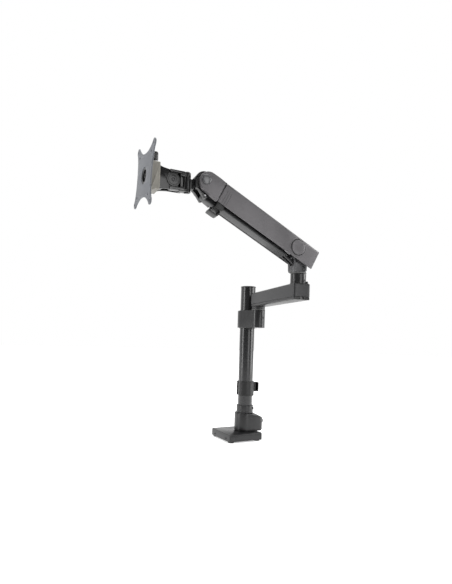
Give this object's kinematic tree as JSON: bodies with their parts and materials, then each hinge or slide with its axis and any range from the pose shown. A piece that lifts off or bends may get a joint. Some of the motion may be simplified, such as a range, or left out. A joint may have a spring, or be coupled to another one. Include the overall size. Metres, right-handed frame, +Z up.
{
  "type": "monitor arm",
  "caption": "Black gas-spring monitor arm on a clamped pole, with a folding lower link and a tilting VESA plate.",
  "frame": {"origin": "on the desk surface, under the pole's axis", "axes": "+X along the base plate's front edge, +Y towards its rear edge, +Z up along the pole"},
  "size_m": [0.4445, 0.3472, 0.6404],
  "materials": {
    "satin_black": "satin",
    "powder_black": "satin",
    "plastic_black": "matte",
    "rubber_black": "matte",
    "grey_block": "satin",
    "steel": "satin",
    "nylon": "matte"
  },
  "bodies": {
    "base": {"base_cover": "satin_black", "base_core_plate": "steel", "base_foot_1": "rubber_black", "base_foot_2": "rubber_black", "base_foot_3": "rubber_black", "base_foot_4": "rubber_black", "base_side_screw_1": "steel", "base_side_screw_2": "steel", "base_housing": "satin_black", "pole_foot": "steel", "clamp_screw": "plastic_black", "lock_ring": "satin_black", "lock_ring_screw": "steel", "pole_tube": "satin_black", "pole_cap": "plastic_black"},
    "pole_clip": {"pole_cable_clip": "plastic_black"},
    "carriage": {"collar_liner": "nylon"},
    "collar": {"collar_block": "satin_black", "collar_height_screw": "steel", "collar_set_screw": "steel", "link_pivot_pin": "steel"},
    "link": {"link_washer": "nylon", "link_bar": "satin_black", "link_cable_cover": "plastic_black", "swivel_post": "satin_black", "swivel_post_screw": "steel", "rotation_stop": "plastic_black", "swivel_pin": "steel"},
    "bracket": {"swivel_washer": "nylon", "swivel_bracket": "satin_black", "rear_pivot_pin": "steel", "rail_rear_pin": "steel", "spring_anchor_pin": "steel"},
    "arm": {"arm_cover": "powder_black", "front_yoke": "powder_black", "rear_cap_left": "powder_black", "rear_cap_right": "powder_black", "front_cap_left": "plastic_black", "front_cap_right": "plastic_black", "arm_cable_clip": "plastic_black", "front_pivot_pin": "steel", "spring_front_pin": "steel", "gas_spring_cylinder": "steel"},
    "spring_rod": {"gas_spring_rod": "steel"},
    "rail": {"lower_rail": "plastic_black"},
    "neck": {"knuckle": "satin_black", "pan_neck": "satin_black", "rail_front_pin": "steel"},
    "head": {"pan_yoke": "satin_black", "pan_hinge_pin": "plastic_black"},
    "tilt": {"tilt_fork": "satin_black", "tilt_disc_left": "plastic_black", "tilt_disc_right": "plastic_black", "tilt_bolt": "steel", "display_block": "grey_block"},
    "knob": {"release_knob": "satin_black"},
    "plate": {"turn_hub": "satin_black", "vesa_plate": "powder_black"}
  },
  "joints": [
    {"name": "pole_clip_turn", "type": "hinge", "parent": "base", "child": "pole_clip", "pos_m": [0, 0, 0.137], "axis": [0, 0, 1], "range_deg": [-150, 150]},
    {"name": "collar_height", "type": "slide", "parent": "base", "child": "carriage", "axis": [0, 0, 1], "range_m": [-0.145, 0.057]},
    {"name": "collar_swivel", "type": "hinge", "parent": "carriage", "child": "collar", "pos_m": [0, 0, 0.327], "axis": [0, 0, 1], "range_deg": [-175, 175]},
    {"name": "link_swivel", "type": "hinge", "parent": "collar", "child": "link", "pos_m": [0.00301, -0.04791, 0.356], "axis": [0, 0, 1], "range_deg": [-95, 125]},
    {"name": "arm_swivel", "type": "hinge", "parent": "link", "child": "bracket", "pos_m": [-0.04027, -0.26258, 0.419], "axis": [0, 0, 1], "range_deg": [-35, 205]},
    {"name": "arm_lift", "type": "hinge", "parent": "bracket", "child": "arm", "pos_m": [-0.05806, -0.26059, 0.4705], "axis": [0.1115, 0.9938, 0], "range_deg": [-57, 10]},
    {"name": "rail_lift", "type": "hinge", "parent": "bracket", "child": "rail", "pos_m": [-0.05607, -0.26081, 0.4425], "axis": [0.1115, 0.9938, 0], "range_deg": [-57, 10]},
    {"name": "spring_stroke", "type": "slide", "parent": "arm", "child": "spring_rod", "axis": [-0.8823, 0.099, 0.4602], "range_m": [-0.003, 0.0166]},
    {"name": "head_level", "type": "hinge", "parent": "arm", "child": "neck", "pos_m": [-0.26981, -0.23684, 0.58095], "axis": [0.1115, 0.9938, 0], "range_deg": [-10, 57]},
    {"name": "head_pan", "type": "hinge", "parent": "neck", "child": "head", "pos_m": [-0.30062, -0.23338, 0.57495], "axis": [0, 0, 1], "range_deg": [-75, 75]},
    {"name": "head_tilt", "type": "hinge", "parent": "head", "child": "tilt", "pos_m": [-0.33359, -0.232, 0.57495], "axis": [0.0419, 0.9991, 0], "range_deg": [-35, 35]},
    {"name": "plate_turn", "type": "hinge", "parent": "tilt", "child": "plate", "pos_m": [-0.38954, -0.22966, 0.57495], "axis": [-0.9991, 0.0419, 0], "range_deg": [-90, 90]},
    {"name": "knob_pull", "type": "slide", "parent": "tilt", "child": "knob", "axis": [0, 0, 1], "range_m": [0, 0.004], "stiffness_N_per_m": 400, "springref_m": -0.001}
  ],
  "couplings": [
    {"joint": "rail_lift", "follows": "arm_lift", "ratio": 1},
    {"joint": "head_level", "follows": "arm_lift", "ratio": -1},
    {"joint": "spring_stroke", "follows": "arm_lift", "m_per_rad": -0.0165}
  ]
}
